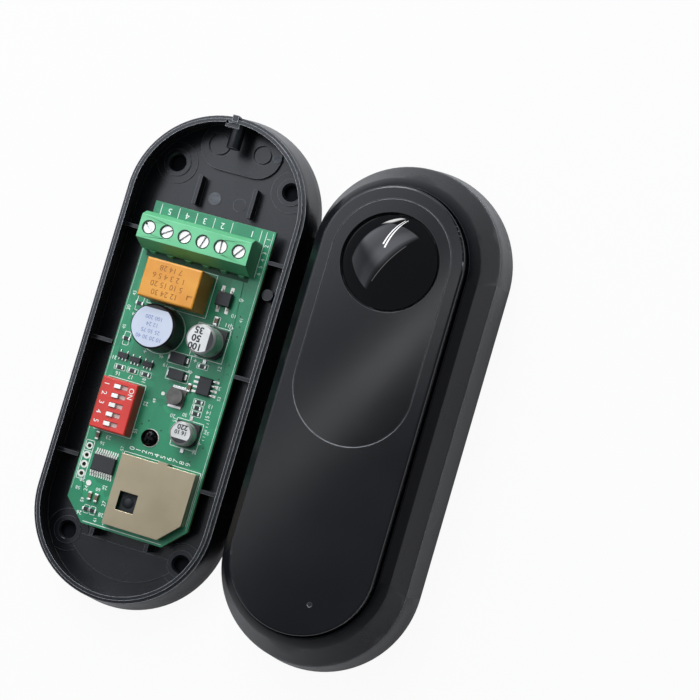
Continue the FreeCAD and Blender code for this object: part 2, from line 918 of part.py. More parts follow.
def lens_dome():
    """Domed lens: a spherical shell on a short skirt, with a flange behind the window."""
    edge = front_height - lens_bezel
    ball = (lens_radius ** 2 + lens_rise ** 2) / (2 * lens_rise)
    low = window_seat - lens_flange_thickness
    skirt = rod(0, lens_axis, low, lens_radius, edge - low)
    cap = Part.makeSphere(ball, vec(0, lens_axis, edge + lens_rise - ball))
    cap = cap.common(rod(0, lens_axis, edge, lens_radius, lens_rise))
    flange = rod(0, lens_axis, low, lens_radius + lens_flange, lens_flange_thickness)
    inner_ball = ball - lens_skirt
    core = Part.makeSphere(inner_ball, vec(0, lens_axis, edge + lens_rise - ball))
    core = core.common(rod(0, lens_axis, 0, lens_radius - lens_skirt, 2 * front_height))
    return skirt.fuse(cap).fuse(flange).cut(core).removeSplitter()


def light_pipe():
    """Clear rod that ends flush with the front, its collar against the cover's inside."""
    ceiling = plate_seat - front_wall
    low = ceiling - light_pipe_reach
    stem = rod(light_pipe_x, light_pipe_y, low, light_pipe_radius, front_height - low)
    collar = rod(light_pipe_x, light_pipe_y, ceiling - light_pipe_collar_thickness,
                 light_pipe_collar, light_pipe_collar_thickness)
    return stem.fuse(collar).removeSplitter()


def export(name, shape):
    shape.exportStep(f"parts/{name}.step")


def place_receiver(name, shape):
    moved = shape.copy()
    moved.translate(vec(-unit_shift, unit_stagger, 0))
    export(name, moved)


def place_emitter(name, shape):
    """The closed unit lies the other way up, so its cable end points down."""
    moved = shape.copy()
    moved.rotate(vec(0, 0, 0), vec(0, 0, 1), 180)
    moved.translate(vec(unit_shift, -unit_stagger, 0))
    export(name, moved)


def place_front(name, shape):
    """Front pieces are drawn with the lens end up, as the closed unit lies."""
    moved = shape.copy()
    moved.translate(vec(unit_shift, -unit_stagger, 0))
    export(name, moved)


def build_receiver():
    poles = pole_places(pole_count, terminal_x, terminal_y)
    header = [on_board(header_x, header_y - row * header_pitch) for row in range(header_count)]
    pins = [(x, y, pin_radius) for x, y in poles + relay_pin_places()]
    pins += [(x, y, dip_pin_radius) for x, y in dip_pin_places()]
    pins += [(x, y, header_hole) for x, y in header]
    place_receiver("receiver_rear_shell", rear_shell().fuse(end_tab()).removeSplitter())
    place_receiver("receiver_circuit_board", drilled_board(pins))
    place_receiver("receiver_board_screw", board_screw())
    place_receiver("terminal_block", terminal_block(pole_count, terminal_x, terminal_y))
    for number, (x, y) in enumerate(poles, 1):
        turn = slot_turns[(number - 1) % len(slot_turns)]
        place_receiver(f"terminal_screw_{number}", terminal_screw(x, y, turn))
        place_receiver(f"terminal_clamp_{number}", terminal_clamp(x, y))
    place_receiver("terminal_pins", upright_pins(poles, pin_radius))
    place_receiver("relay_case", relay_case())
    place_receiver("relay_pins", upright_pins(relay_pin_places(), pin_radius))
    place_receiver("buzzer_body", buzzer_body())
    place_receiver("buzzer_seal", buzzer_seal())
    for name, size in (("large", large_capacitor), ("small", small_capacitor)):
        place_receiver(f"{name}_capacitor_can", capacitor_can(size))
        place_receiver(f"{name}_capacitor_base", capacitor_base(size))
    place_receiver("dip_switch_housing", dip_housing())
    for number, (x, y) in enumerate(dip_places(), 1):
        place_receiver(f"dip_slider_{number}", dip_slider(x, y))
    place_receiver("dip_switch_pins", upright_pins(dip_pin_places(), dip_pin_radius))
    place_receiver("microcontroller", chip_body(microcontroller, on_board))
    place_receiver("comparator", chip_body(comparator, by_terminal))
    place_receiver("optocoupler", chip_body(optocoupler, by_terminal))
    leads = chip_leads(microcontroller, on_board, microcontroller_lead_count,
                       microcontroller_pitch, 0)
    leads += chip_leads(comparator, by_terminal, comparator_lead_count, comparator_pitch, 90)
    leads += chip_leads(optocoupler, by_terminal, optocoupler_lead_count, optocoupler_pitch, 0)
    place_receiver("chip_leads", Part.makeCompound(leads))
    diodes = small_parts(diode_places, diode_size, by_terminal)
    transistors = small_parts(transistor_places, transistor_size, by_terminal)
    resistors = small_parts(resistor_places, resistor_size, by_terminal)
    resistors += small_parts(low_resistor_places, resistor_size, on_board)
    ceramics = small_parts(ceramic_places, ceramic_size, by_terminal)
    ceramics += small_parts(low_ceramic_places, ceramic_size, on_board)
    place_receiver("diodes", Part.makeCompound(diodes))
    place_receiver("transistors", Part.makeCompound(transistors))
    place_receiver("chip_resistors", Part.makeCompound(resistors))
    place_receiver("chip_capacitors", Part.makeCompound(ceramics))
    place_receiver("inductor", inductor())
    place_receiver("shield_can", shield_can())
    place_receiver("ir_receiver", ir_receiver())


def build_emitter():
    poles = pole_places(emitter_pole_count, 0, terminal_y)
    place_emitter("emitter_rear_shell", rear_shell())
    place_emitter("emitter_circuit_board", drilled_board([(x, y, pin_radius) for x, y in poles]))
    place_emitter("emitter_board_screw", board_screw())
    place_emitter("emitter_terminal_block",
                  terminal_block(emitter_pole_count, 0, terminal_y))
    for number, (x, y) in enumerate(poles, 1):
        turn = slot_turns[(number - 1) % len(slot_turns)]
        place_emitter(f"emitter_terminal_screw_{number}", terminal_screw(x, y, turn))
        place_emitter(f"emitter_terminal_clamp_{number}", terminal_clamp(x, y))
    place_emitter("emitter_terminal_pins", upright_pins(poles, pin_radius))
    place_emitter("emitter_diode", emitter_diode())
    drivers = small_parts(driver_places, driver_size, on_board)
    place_emitter("emitter_driver_parts", Part.makeCompound(drivers))
    place_front("front_cover", front_cover())
    place_front("face_plate", face_plate())
    place_front("window_panel", window_panel())
    place_front("lens_dome", lens_dome())
    place_front("indicator_light_pipe", light_pipe())


os.makedirs("parts", exist_ok=True)
build_receiver()
build_emitter()
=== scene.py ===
import math

import bmesh
import bpy
from mathutils import Matrix, Vector


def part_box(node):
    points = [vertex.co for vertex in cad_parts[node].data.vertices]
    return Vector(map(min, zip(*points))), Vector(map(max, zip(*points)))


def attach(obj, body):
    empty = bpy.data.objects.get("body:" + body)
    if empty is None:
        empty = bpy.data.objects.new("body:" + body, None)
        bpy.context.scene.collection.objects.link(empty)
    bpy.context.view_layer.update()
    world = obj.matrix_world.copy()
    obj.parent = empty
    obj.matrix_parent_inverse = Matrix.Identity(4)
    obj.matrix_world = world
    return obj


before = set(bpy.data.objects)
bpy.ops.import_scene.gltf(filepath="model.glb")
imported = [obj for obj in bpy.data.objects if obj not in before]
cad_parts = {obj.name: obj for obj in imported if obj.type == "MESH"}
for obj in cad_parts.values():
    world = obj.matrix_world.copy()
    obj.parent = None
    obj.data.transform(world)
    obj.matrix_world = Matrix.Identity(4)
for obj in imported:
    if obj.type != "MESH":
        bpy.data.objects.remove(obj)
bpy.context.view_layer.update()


# Rear shells: two trays of black ABS, each injection moulded in one piece with a fine satin
# grain. A painted highlight lightens the edges of both, most of all along their rims, and the
# mould's ejector pins have left two round marks in the opened one.
mm = 0.001
noise_low = 0.3   # a noise keeps to about this range
noise_high = 0.7


def linear(code):
    """One sRGB hex colour as the linear values that a socket takes."""
    channels = [int(code[i:i + 2], 16) / 255 for i in (1, 3, 5)]
    curve = [c / 12.92 if c <= 0.04045 else ((c + 0.055) / 1.055) ** 2.4 for c in channels]
    return (*curve, 1.0)


def add(tree, kind, inputs=None, **settings):
    """Adds one shader node with its settings; an input is a value or a socket to link."""
    made = tree.nodes.new(kind)
    for key, value in settings.items():
        setattr(made, key, value)
    for key, value in (inputs or {}).items():
        if isinstance(value, bpy.types.NodeSocket):
            tree.links.new(value, made.inputs[key])
        else:
            made.inputs[key].default_value = value
    return made


def empty_material(name):
    """A material with no nodes yet, and its tree."""
    made = bpy.data.materials.new(name)
    made.use_nodes = True
    made.node_tree.nodes.clear()
    return made, made.node_tree


def per_mm(size):
    """Texture scale that gives features of this size in millimetres."""
    return 1 / (size * mm)


def rubbed(tree, colour, edge, radius, facing=None, above=None):
    """Paints a highlight into the colour along the edges, in the edge colour and over a radius in
    mm:
    on all of them, on those that face one way, or most of all on those above a height in mm."""
    flat, corner = 0.99, 0.8         # cosine of the rounded normal to the true one
    aside, towards = 0.1, 0.6        # cosine of the rounded normal to the favoured way
    least_aside, least_below = 0.15, 0.22
    band = 0.5
    soft = add(tree, "ShaderNodeBevel", {"Radius": radius * mm}, samples=6)
    plain = add(tree, "ShaderNodeNewGeometry")
    turn = add(tree, "ShaderNodeVectorMath", {
        0: soft.outputs[0], 1: plain.outputs["Normal"]}, operation="DOT_PRODUCT")
    shares = [add(tree, "ShaderNodeMapRange", {
        "Value": turn.outputs["Value"], "From Min": flat, "From Max": corner})]
    if facing:
        side = add(tree, "ShaderNodeVectorMath", {0: soft.outputs[0], 1: facing},
                   operation="DOT_PRODUCT")
        shares.append(add(tree, "ShaderNodeMapRange", {
            "Value": side.outputs["Value"], "From Min": aside, "From Max": towards,
            "To Min": least_aside}))
    if above:
        place = add(tree, "ShaderNodeTexCoord")
        apart = add(tree, "ShaderNodeSeparateXYZ", {"Vector": place.outputs["Object"]})
        shares.append(add(tree, "ShaderNodeMapRange", {
            "Value": apart.outputs["Z"], "From Min": (above - band) * mm, "From Max": above * mm,
            "To Min": least_below}))
    share = shares[0].outputs["Result"]
    for other in shares[1:]:
        share = add(tree, "ShaderNodeMath", {0: share, 1: other.outputs["Result"]},
                    operation="MULTIPLY").outputs[0]
    return add(tree, "ShaderNodeMix", {
        "Factor": share, "A": colour, "B": linear(edge)}, data_type="RGBA").outputs["Result"]


def finish(tree, shader):
    """Ends a material in its shader."""
    out = add(tree, "ShaderNodeOutputMaterial")
    tree.links.new(shader.outputs[0], out.inputs["Surface"])


def surface(name, dark, light, rough, cloud, grain, depth, relief, shine, edge_highlight):
    """A material in clouds of two tones, with uneven sheen and a fine grain. Cloud, grain and
    its depth are in mm, rough is a range, and shine is what else the shader takes."""
    made, tree = empty_material(name)
    place = add(tree, "ShaderNodeTexCoord")
    clouds = add(tree, "ShaderNodeTexNoise", {
        "Vector": place.outputs["Object"], "Scale": per_mm(cloud), "Detail": 3.0})
    fine = add(tree, "ShaderNodeTexNoise", {
        "Vector": place.outputs["Object"], "Scale": per_mm(grain), "Detail": 2.0})
    tone = add(tree, "ShaderNodeMapRange", {
        "Value": clouds.outputs["Fac"], "From Min": noise_low, "From Max": noise_high})
    colour = add(tree, "ShaderNodeMix", {
        "Factor": tone.outputs["Result"], "A": linear(dark), "B": linear(light)},
        data_type="RGBA").outputs["Result"]
    # A painted highlight along the edges, where one is given.
    if edge_highlight:
        colour = rubbed(tree, colour, *edge_highlight)
    sheen = add(tree, "ShaderNodeMapRange", {
        "Value": clouds.outputs["Fac"], "From Min": noise_low, "From Max": noise_high,
        "To Min": rough[0], "To Max": rough[1]})
    bump = add(tree, "ShaderNodeBump", {
        "Height": fine.outputs["Fac"], "Strength": relief, "Distance": depth * mm})
    shader = add(tree, "ShaderNodeBsdfPrincipled", {
        "Base Color": colour, "Roughness": sheen.outputs["Result"],
        "Normal": bump.outputs["Normal"], **shine})
    finish(tree, shader)
    return made


def moulded(name, dark, light, rough, grain, depth, cloud=14.0, specular=0.5, edge_highlight=None):
    """A moulded plastic, or an ink or paper that is as dull. The grain is drawn coarser than a
    real mould's, so that it shows."""
    return surface(name, dark, light, rough, cloud, grain, depth, 0.6,
                   {"IOR": 1.53, "Specular IOR Level": specular}, edge_highlight)


def round_edges(piece, width, segments, sharp):
    """Rounds the edges that turn by more than sharp degrees, over a width in mm."""
    bevel = piece.modifiers.new("edge", "BEVEL")
    bevel.width = width * mm
    bevel.segments = segments
    bevel.limit_method = "ANGLE"
    bevel.angle_limit = math.radians(sharp)
    bevel.harden_normals = True


def dress(node, material, edge=0.0, segments=2, sharp=35):
    """Gives a CAD node its material, and its sharp edges a round that is edge mm wide."""
    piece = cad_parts[node]
    piece.data.materials.clear()
    piece.data.materials.append(material)
    if edge:
        weld = piece.modifiers.new("weld", "WELD")
        weld.merge_threshold = 0.001 * mm
        round_edges(piece, edge, segments, sharp)


def disc_into(mesh, centre, radius, height, sides=32):
    """Adds a flat disc that stands on centre, sized in mm."""
    place = Matrix.Translation(centre + Vector((0, 0, height * mm / 2)))
    bmesh.ops.create_cone(mesh, cap_ends=True, segments=sides, radius1=radius * mm,
                          radius2=radius * mm, depth=height * mm, matrix=place)


def place_piece(name, mesh, material, body, edge=0.0, sharp=30):
    """Turns a built mesh into a piece that rides on a body."""
    bmesh.ops.recalc_face_normals(mesh, faces=mesh.faces)
    data = bpy.data.meshes.new(name)
    mesh.to_mesh(data)
    mesh.free()
    data.materials.append(material)
    data.shade_smooth()
    data.set_sharp_from_angle(angle=math.radians(sharp))
    piece = bpy.data.objects.new(name, data)
    bpy.context.scene.collection.objects.link(piece)
    if edge:
        round_edges(piece, edge, 2, sharp)
    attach(piece, body)


# The shells' edges, most of all along the rims, carry a painted highlight.
shell_abs = moulded("moulded_black_abs", "#0e1013", "#16181c", (0.22, 0.3), 0.3, 0.01,
                    specular=0.42, edge_highlight=("#c2c5ca", 0.22, None, 11.6))
for unit in ("receiver", "emitter"):
    dress(f"{unit}_rear_shell", shell_abs, 0.28, 3)
shell_low, shell_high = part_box("receiver_rear_shell")
shell_mid = (shell_low + shell_high) / 2
rubbed_abs = moulded("rubbed_abs", "#33363c", "#5a5e64", (0.4, 0.55), 0.25, 0.01, 1.2)
film_height = 0.02
marks = bmesh.new()
for x, y, z, radius in ((-3.6, 44.8, 2.2, 1.7), (10.4, 59.35, 3.2, 1.1)):
    disc_into(marks, Vector((shell_mid.x + x * mm, shell_mid.y + y * mm, z * mm)), radius,
              film_height)
place_piece("ejector_marks", marks, rubbed_abs, "receiver")


# Circuit boards: glass laminate under a green solder mask, routed to shape, with tinned pads
# and lands. The copper below the mask shows as lighter fields with dark gaps between them, and
# the cut edge is yellowish.
def solder_mask():
    """Green mask over fields of copper, with bare laminate at the cut edge."""
    made, tree = empty_material("solder_mask_on_laminate")
    place = add(tree, "ShaderNodeTexCoord")
    fields = add(tree, "ShaderNodeTexVoronoi", {
        "Vector": place.outputs["Object"], "Scale": per_mm(7.0), "Randomness": 0.9},
        distance="CHEBYCHEV", feature="F1")
    pour = add(tree, "ShaderNodeSeparateColor", {"Color": fields.outputs["Color"]})
    clouds = add(tree, "ShaderNodeTexNoise", {
        "Vector": place.outputs["Object"], "Scale": per_mm(5.0), "Detail": 3.0})
    tone = add(tree, "ShaderNodeMath", {0: pour.outputs["Red"], 1: clouds.outputs["Fac"]},
               operation="MULTIPLY")
    mask = add(tree, "ShaderNodeMix", {
        "Factor": tone.outputs[0], "A": linear("#1b7350"), "B": linear("#2c9c6c")},
        data_type="RGBA")
    facing = add(tree, "ShaderNodeNewGeometry")
    upright = add(tree, "ShaderNodeSeparateXYZ", {"Vector": facing.outputs["Normal"]})
    flat = add(tree, "ShaderNodeMath", {0: upright.outputs["Z"]}, operation="ABSOLUTE")
    colour = add(tree, "ShaderNodeMix", {
        "Factor": flat.outputs[0], "A": linear("#8c9a5a"), "B": mask.outputs["Result"]},
        data_type="RGBA")
    weave = add(tree, "ShaderNodeTexNoise", {
        "Vector": place.outputs["Object"], "Scale": per_mm(0.5), "Detail": 2.0})
    bump = add(tree, "ShaderNodeBump", {
        "Height": weave.outputs["Fac"], "Strength": 0.3, "Distance": 0.01 * mm})
    sheen = add(tree, "ShaderNodeMapRange", {
        "Value": clouds.outputs["Fac"], "From Min": noise_low, "From Max": noise_high,
        "To Min": 0.26, "To Max": 0.4})
    shader = add(tree, "ShaderNodeBsdfPrincipled", {
        "Base Color": colour.outputs["Result"], "Roughness": sheen.outputs["Result"],
        "Normal": bump.outputs["Normal"], "IOR": 1.5})
    finish(tree, shader)
    return made


def metal(name, dark, light, rough, streak=0.4, depth=0.004, stain=2.5, bare=1.0, edge_highlight=None):
    """A bare or plated metal with faint stains; bare is how much of it mirrors. The tool marks
    are drawn coarser than real ones, so that they show."""
    return surface(name, dark, light, rough, stain, streak, depth, 0.5, {"Metallic": bare}, edge_highlight)


board_mask = solder_mask()
for unit in ("receiver", "emitter"):
    dress(f"{unit}_circuit_board", board_mask, 0.08)
board_low, board_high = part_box("receiver_circuit_board")
board_mid = (board_low + board_high) / 2
board_top = board_high.z


def on_board(x, y, z=0.0):
    """Millimetres from the middle of the receiver's board, and above its top."""
    return Vector((board_mid.x + x * mm, board_mid.y + y * mm, board_top + z * mm))


def box_into(mesh, low, high):
    """Adds a box between two corners."""
    size = high - low
    place = Matrix.Translation((low + high) / 2) @ Matrix.Diagonal((*size, 1.0))
    bmesh.ops.create_cube(mesh, size=1.0, matrix=place)


def ends_into(mesh, x, y, near, far, width, height, along_x, shift=0.0):
    """Adds two flat blocks beside a place on the board, in mm: one on each side, from near to
    far of it along x or y, and moved across by shift."""
    for side in (-1, 1):
        low, high = sorted((side * near, side * far))
        if along_x:
            box_into(mesh, on_board(x + low, y + shift - width / 2),
                     on_board(x + high, y + shift + width / 2, height))
        else:
            box_into(mesh, on_board(x + shift - width / 2, y + low),
                     on_board(x + shift + width / 2, y + high, height))


def ring_into(mesh, centre, inner, outer, height, sides=32):
    """Adds a flat ring that stands on centre, sized in mm."""
    rings = []
    for radius, z in ((inner, 0), (outer, 0), (outer, height), (inner, height)):
        rings.append([mesh.verts.new(centre + Vector((
            radius * mm * math.cos(2 * math.pi * k / sides),
            radius * mm * math.sin(2 * math.pi * k / sides), z * mm))) for k in range(sides)])
    for lower, upper in zip(rings, rings[1:] + rings[:1]):
        for k in range(sides):
            mesh.faces.new((lower[k], lower[(k + 1) % sides],
                            upper[(k + 1) % sides], upper[k]))


tinned_pad = metal("tinned_copper", "#d6d4cb", "#efede6", (0.3, 0.42), bare=0.45)
pad_height = 0.05
header_pitch = 2.54
header_holes = [(-15.4, -23.9 - header_pitch * row) for row in range(4)]
board_screw = (0.1, -17.4)
solder_spots = ((-12.6, -33.4, 0.75, 0.25), (0.0, -5.1, 0.5, 0.1))
pads = bmesh.new()
for x, y in header_holes:
    ring_into(pads, on_board(x, y), 0.55, 0.92, pad_height)
ring_into(pads, on_board(*board_screw), 1.7, 2.45, pad_height)
for x, y, radius, height in solder_spots:
    disc_into(pads, on_board(x, y), radius, height)
place_piece("board_pads", pads, tinned_pad, "receiver")

land_height = 0.06
lands = bmesh.new()
for x, y, width, count, pitch, near, far, along_x in (
        (-10.0, -27.6, 0.34, 10, 0.65, 2.2, 3.85, False),   # microcontroller
        (10.6, -0.3, 0.62, 4, 1.27, 2.0, 3.45, True),       # comparator
        (9.0, 23.3, 0.95, 2, 2.54, 2.0, 3.6, False)):       # optocoupler
    for step in range(count):
        ends_into(lands, x, y, near, far, width, land_height, along_x,
                  (step - (count - 1) / 2) * pitch)
place_piece("board_lands", lands, tinned_pad, "receiver")

# Painted shadow: a dark strip on the board along the terminal block's front, where its shade
# falls.
shadow_laminate = moulded("painted_shadow_laminate", "#123c2a", "#184a34", (0.5, 0.6), 0.4, 0.01, 4.0)
painted_shadow_strip = bmesh.new()
box_into(painted_shadow_strip, on_board(-15.6, 29.2), on_board(13.6, 30.7, film_height))
place_piece("board_painted_shadow", painted_shadow_strip, shadow_laminate, "receiver")

via_resin = moulded("plugged_via", "#0d2a1c", "#123524", (0.3, 0.4), 0.4, 0.005)
vias = bmesh.new()
for x, y in ((-1.6, -13.1), (-3.2, -14.4), (2.4, -14.7), (15.1, 14.7), (15.2, 6.9),
             (14.4, 20.1), (15.0, 17.4), (-14.6, -31.3), (12.4, -20.4), (14.8, -16.0),
             (-1.6, 16.0), (13.6, 2.6)):
    disc_into(vias, on_board(x, y), 0.24, film_height, 16)
place_piece("board_vias", vias, via_resin, "receiver")


# Board legend: outlines and plain numbers, screen printed in white ink a few hundredths of a
# millimetre thick. The ink is matt and a little uneven in tone.
legend_ink = moulded("white_legend_ink", "#cfdcd0", "#eef4ee", (0.55, 0.7), 0.2, 0.01, 3.0)
ink_height = 0.03
ink_width = 0.16
legend = bmesh.new()


def stroke(x0, y0, x1, y1, width=ink_width):
    """One straight printed line on the board."""
    start, end = on_board(x0, y0), on_board(x1, y1)
    along = end - start
    turn = Matrix.Rotation(math.atan2(along.y, along.x), 4, "Z")
    size = Matrix.Diagonal((along.length + width * mm, width * mm, ink_height * mm, 1.0))
    place = Matrix.Translation((start + end) / 2 + Vector((0, 0, ink_height / 2 * mm)))
    bmesh.ops.create_cube(legend, size=1.0, matrix=place @ turn @ size)


def frame_of(x, y, width, length, gap=0.35, line=ink_width):
    """A printed rectangle round a part, clear of it by a gap."""
    w, h = width / 2 + gap, length / 2 + gap
    corners = [(x - w, y - h), (x + w, y - h), (x + w, y + h), (x - w, y + h)]
    for (ax, ay), (bx, by) in zip(corners, corners[1:] + corners[:1]):
        stroke(ax, ay, bx, by, line)


def circle_of(x, y, radius, line=ink_width):
    """A printed circle on the board."""
    ring_into(legend, on_board(x, y), radius - line / 2, radius + line / 2, ink_height, 40)


def numeral_into(mesh, text, size, place, angle, stout=0.0):
    """Adds a plain number, as a thin flat mesh centred on a place; stout thickens its strokes."""
    words = bpy.data.curves.new("number", "FONT")
    words.body = text
    words.size = size * mm
    words.align_x = "CENTER"
    words.align_y = "CENTER"
    words.extrude = ink_height / 2 * mm
    words.offset = stout * size * mm
    words.resolution_u = 3
    holder = bpy.data.objects.new("number", words)
    bpy.context.scene.collection.objects.link(holder)
    made = bpy.data.meshes.new_from_object(holder)
    move = Matrix.Translation(place + Vector((0, 0, ink_height / 2 * mm)))
    made.transform(move @ Matrix.Rotation(math.radians(angle), 4, "Z"))
    mesh.from_mesh(made)
    bpy.data.objects.remove(holder)
    bpy.data.meshes.remove(made)
    bpy.data.curves.remove(words)


poles_left = -15.2
poles_length = 28.6
pole_pitch = 5.08
pole_line = (40.7, 43.6)
for edge in [poles_left + pole_pitch * n for n in range(5)] + [poles_left + poles_length]:
    stroke(edge, pole_line[0], edge, pole_line[1])
for number, place in enumerate((11.0, 2.5, -2.6, -7.6, -12.7), 1):
    numeral_into(legend, str(number), 2.4, on_board(place, 42.2), 180)
for row in range(6):
    numeral_into(legend, str(row + 1), 1.5, on_board(15.8, 41.8 - 1.9 * row), 90)
for line in (
        (-16.9, -36.0, -16.9, 31.0, 0.07), (16.7, -38.0, 16.7, 43.6, 0.1),  # long edges
        (-11.2, -43.5, 11.2, -43.5), (14.9, 31.0, 14.9, 43.6),              # both ends
        (-16.5, -25.2, -14.3, -25.2),                                       # first header hole
        (-5.6, -22.6, -5.6, -43.0), (-5.6, -22.6, 16.3, -22.6),             # round the shield
        (16.3, -22.6, 16.3, -37.0)):
    stroke(*line)
for framed in (
        (-3.2, 23.0, 15.5, 10.5, 0.7),                                      # relay
        (8.5, 11.2, 8.3, 8.3, 0.45), (9.5, -13.8, 6.6, 6.6, 0.45),          # tall capacitors
        (-10.45, -11.8, 10.1, 13.9), (-15.4, -27.7, 1.7, 9.9, 0.3),         # switch, header
        (1.6, 4.9, 5.6, 2.6, 0.3), (2.4, 0.6, 5.6, 2.6, 0.3),               # diodes
        (8.5, 17.2, 0.9, 1.7),                                              # chip capacitor
        (-13.4, 16.3, 1.2, 3.4, 0.3), (-14.1, 6.3, 1.0, 3.0, 0.3)):         # resistors
    frame_of(*framed)
circle_of(-5.3, 11.0, 6.4)                                                  # buzzer
for x, y in header_holes[1:]:
    circle_of(x, y, 1.0, 0.08)

fine_gap = 0.28
fine_line = 0.12
resistors = [(-13.6, -1.6), (-9.9, -1.6), (-6.1, -1.6), (8.3, 4.6), (10.2, -4.7), (10.2, -6.3),
             (10.2, -7.9)]
low_resistors = [(-11.2, -40.2), (-9.4, -40.2)]
for x, y in resistors:
    frame_of(x, y, 2.5, 0.85, fine_gap, fine_line)
for x, y in low_resistors:
    frame_of(x, y, 0.85, 1.6, fine_gap, fine_line)
number_places = (
    (12.6, 19.8), (11.6, 17.0), (13.0, 5.2), (13.6, -4.9), (13.6, -6.6), (13.6, -8.2),
    (-13.6, -3.3), (-9.9, -3.3), (-6.1, -3.3), (-1.6, 2.4), (4.3, -10.0), (12.9, -17.6),
    (-3.8, -9.0), (-11.0, -20.4), (-12.9, -35.0), (-8.0, -33.4), (-12.9, -41.6),
    (-6.9, -37.6), (-6.9, -40.6), (-14.6, -33.0), (-16.0, 14.4), (-15.9, 0.6), (14.2, 0.3))
for number, (x, y) in enumerate(number_places, 10):
    numeral_into(legend, str(number), 1.5, on_board(x, y), 180 if number % 3 else 90)
for step in range(10):
    numeral_into(legend, str(step), 2.0, on_board(-3.8 + 1.78 * step, -21.3), 90)
small_number_places = (
    (13.4, 24.4), (14.9, 19.2), (12.9, 16.6), (-15.6, 18.6), (-14.0, 13.2), (-15.7, 9.2),
    (-3.4, 4.2), (5.8, 7.1), (5.5, 2.4), (-1.7, -7.6), (7.4, -8.9), (5.2, -10.9),
    (14.6, -11.9), (15.2, -2.4), (6.7, 14.2), (-4.3, -16.7), (-12.2, -22.3), (-6.4, -22.2),
    (-15.2, -35.4), (-13.0, -38.2), (-9.6, -34.4), (-8.0, -42.3), (-12.6, -29.6))
for number, (x, y) in enumerate(small_number_places, 40):
    numeral_into(legend, str(number), 1.3, on_board(x, y), 90 if number % 2 else 180)

mark_line = 0.14
cross_arm = 0.4
for x, y in ((12.6, 17.2), (12.6, 13.4), (5.9, 5.6), (5.9, -11.0), (13.5, -15.2), (-8.2, 4.3)):
    stroke(x - cross_arm, y, x + cross_arm, y, mark_line)
    stroke(x, y - cross_arm, x, y + cross_arm, mark_line)
for step in range(7):
    stroke(13.9, -8.6 - 0.9 * step, 14.4, -8.6 - 0.9 * step, mark_line)
place_piece("board_legend", legend, legend_ink, "receiver")


# Board screws: steel pan heads with a cross recess, blackened in hot oxide and lightly oiled,
# so that the round head gives small hard highlights. One screw holds each board to its boss.
black_oxide = metal("black_oxide_steel", "#161617", "#2a2a2b", (0.12, 0.22), 0.5, 0.01)
for unit in ("receiver", "emitter"):
    dress(f"{unit}_board_screw", black_oxide, 0.1)


# Terminal blocks: green polyamide, moulded as one strip with a wire chamber and a screw well for
# each pole, polished on the top and textured in the chambers, with a painted highlight along its
# edges. A ring of painted shade, shifted a little up and to the left, lies in the mouth of each
# well, and a sloped foot below each chamber stands on the board.
terminal_polyamide = moulded("terminal_green_polyamide", "#54ab76", "#6cbe8b", (0.4, 0.52), 0.4,
                             0.01, 9.0, edge_highlight=("#a8dcb8", 0.2))
for node in ("terminal_block", "emitter_terminal_block"):
    dress(node, terminal_polyamide, 0.18)
# Painted shade: dark rings in the mouths of the wells, set a little up and to the left.
well_shade = moulded("terminal_well_shadow", "#12241a", "#1a3024", (0.6, 0.7), 0.3, 0.01, 2.0)


def loft_into(mesh, lower, upper):
    """Adds the solid between two loops of points."""
    low = [mesh.verts.new(point) for point in lower]
    high = [mesh.verts.new(point) for point in upper]
    mesh.faces.new(low)
    mesh.faces.new(high)
    for k in range(len(low)):
        after = (k + 1) % len(low)
        mesh.faces.new((low[k], low[after], high[after], high[k]))


terminal_low, terminal_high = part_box("terminal_block")
shadow_shift = 0.08
foot_sole = ((-1.1, 0.0), (1.1, 0.0), (0.6, -0.8), (-0.6, -0.8))
foot_top = ((-1.1, 0.0), (1.1, 0.0), (0.6, -0.3), (-0.6, -0.3))
foot_height = 1.5
well_shadows = bmesh.new()
feet = bmesh.new()
for number in range(1, 7):
    low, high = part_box(f"terminal_screw_{number}")
    head = (low + high) / 2
    ring_into(well_shadows, Vector((head.x - shadow_shift * mm, head.y + shadow_shift * mm,
                              terminal_high.z)), 1.66, 1.9, film_height, 40)
    loft_into(feet, *([Vector((head.x + x * mm, terminal_low.y + y * mm, board_top + z * mm))
                       for x, y in outline]
                      for outline, z in ((foot_sole, 0.0), (foot_top, foot_height))))
place_piece("terminal_well_shadows", well_shadows, well_shade, "receiver")
place_piece("terminal_feet", feet, terminal_polyamide, "receiver", 0.1)


# Clamp screws and clamps: slotted steel screws and folded brass cages, both plated. The turned
# heads of the screws show faint tool marks, and the cages draw the wire up against them.
zinc_plate = metal("zinc_plated_steel", "#d2d2ce", "#f0efea", (0.28, 0.42), 0.25, 0.006, bare=0.6)
nickel_plate = metal("nickel_plated_brass", "#a09a86", "#cbc5b4", (0.25, 0.4))
for block, count in (("terminal", 6), ("emitter_terminal", 2)):
    for number in range(1, count + 1):
        dress(f"{block}_screw_{number}", zinc_plate, 0.12)
        dress(f"{block}_clamp_{number}", nickel_plate)
for node in ("terminal_pins", "relay_pins", "dip_switch_pins", "emitter_terminal_pins"):
    dress(node, tinned_pad)


# Relay: a sealed coil relay in an orange polyester case, glued shut below. The case is glossy
# and a little uneven in tone, with rows of numbers printed in brown.
relay_polyester = moulded("relay_orange_polyester", "#c8821e", "#d49334", (0.34, 0.46), 0.6,
                          0.012, 6.0)
pressed_ink = moulded("brown_relay_ink", "#875212", "#9a6019", (0.45, 0.6), 0.3, 0.01, 2.0)


def rows_into(mesh, rows, size, pitch, centre):
    """Adds rows of plain numbers about a centre, pitch mm apart, to read from the +Y end."""
    for row, digits in enumerate(rows):
        rise = (row - (len(rows) - 1) / 2) * pitch
        numeral_into(mesh, digits, size, centre + Vector((0, rise * mm, 0)), 180)


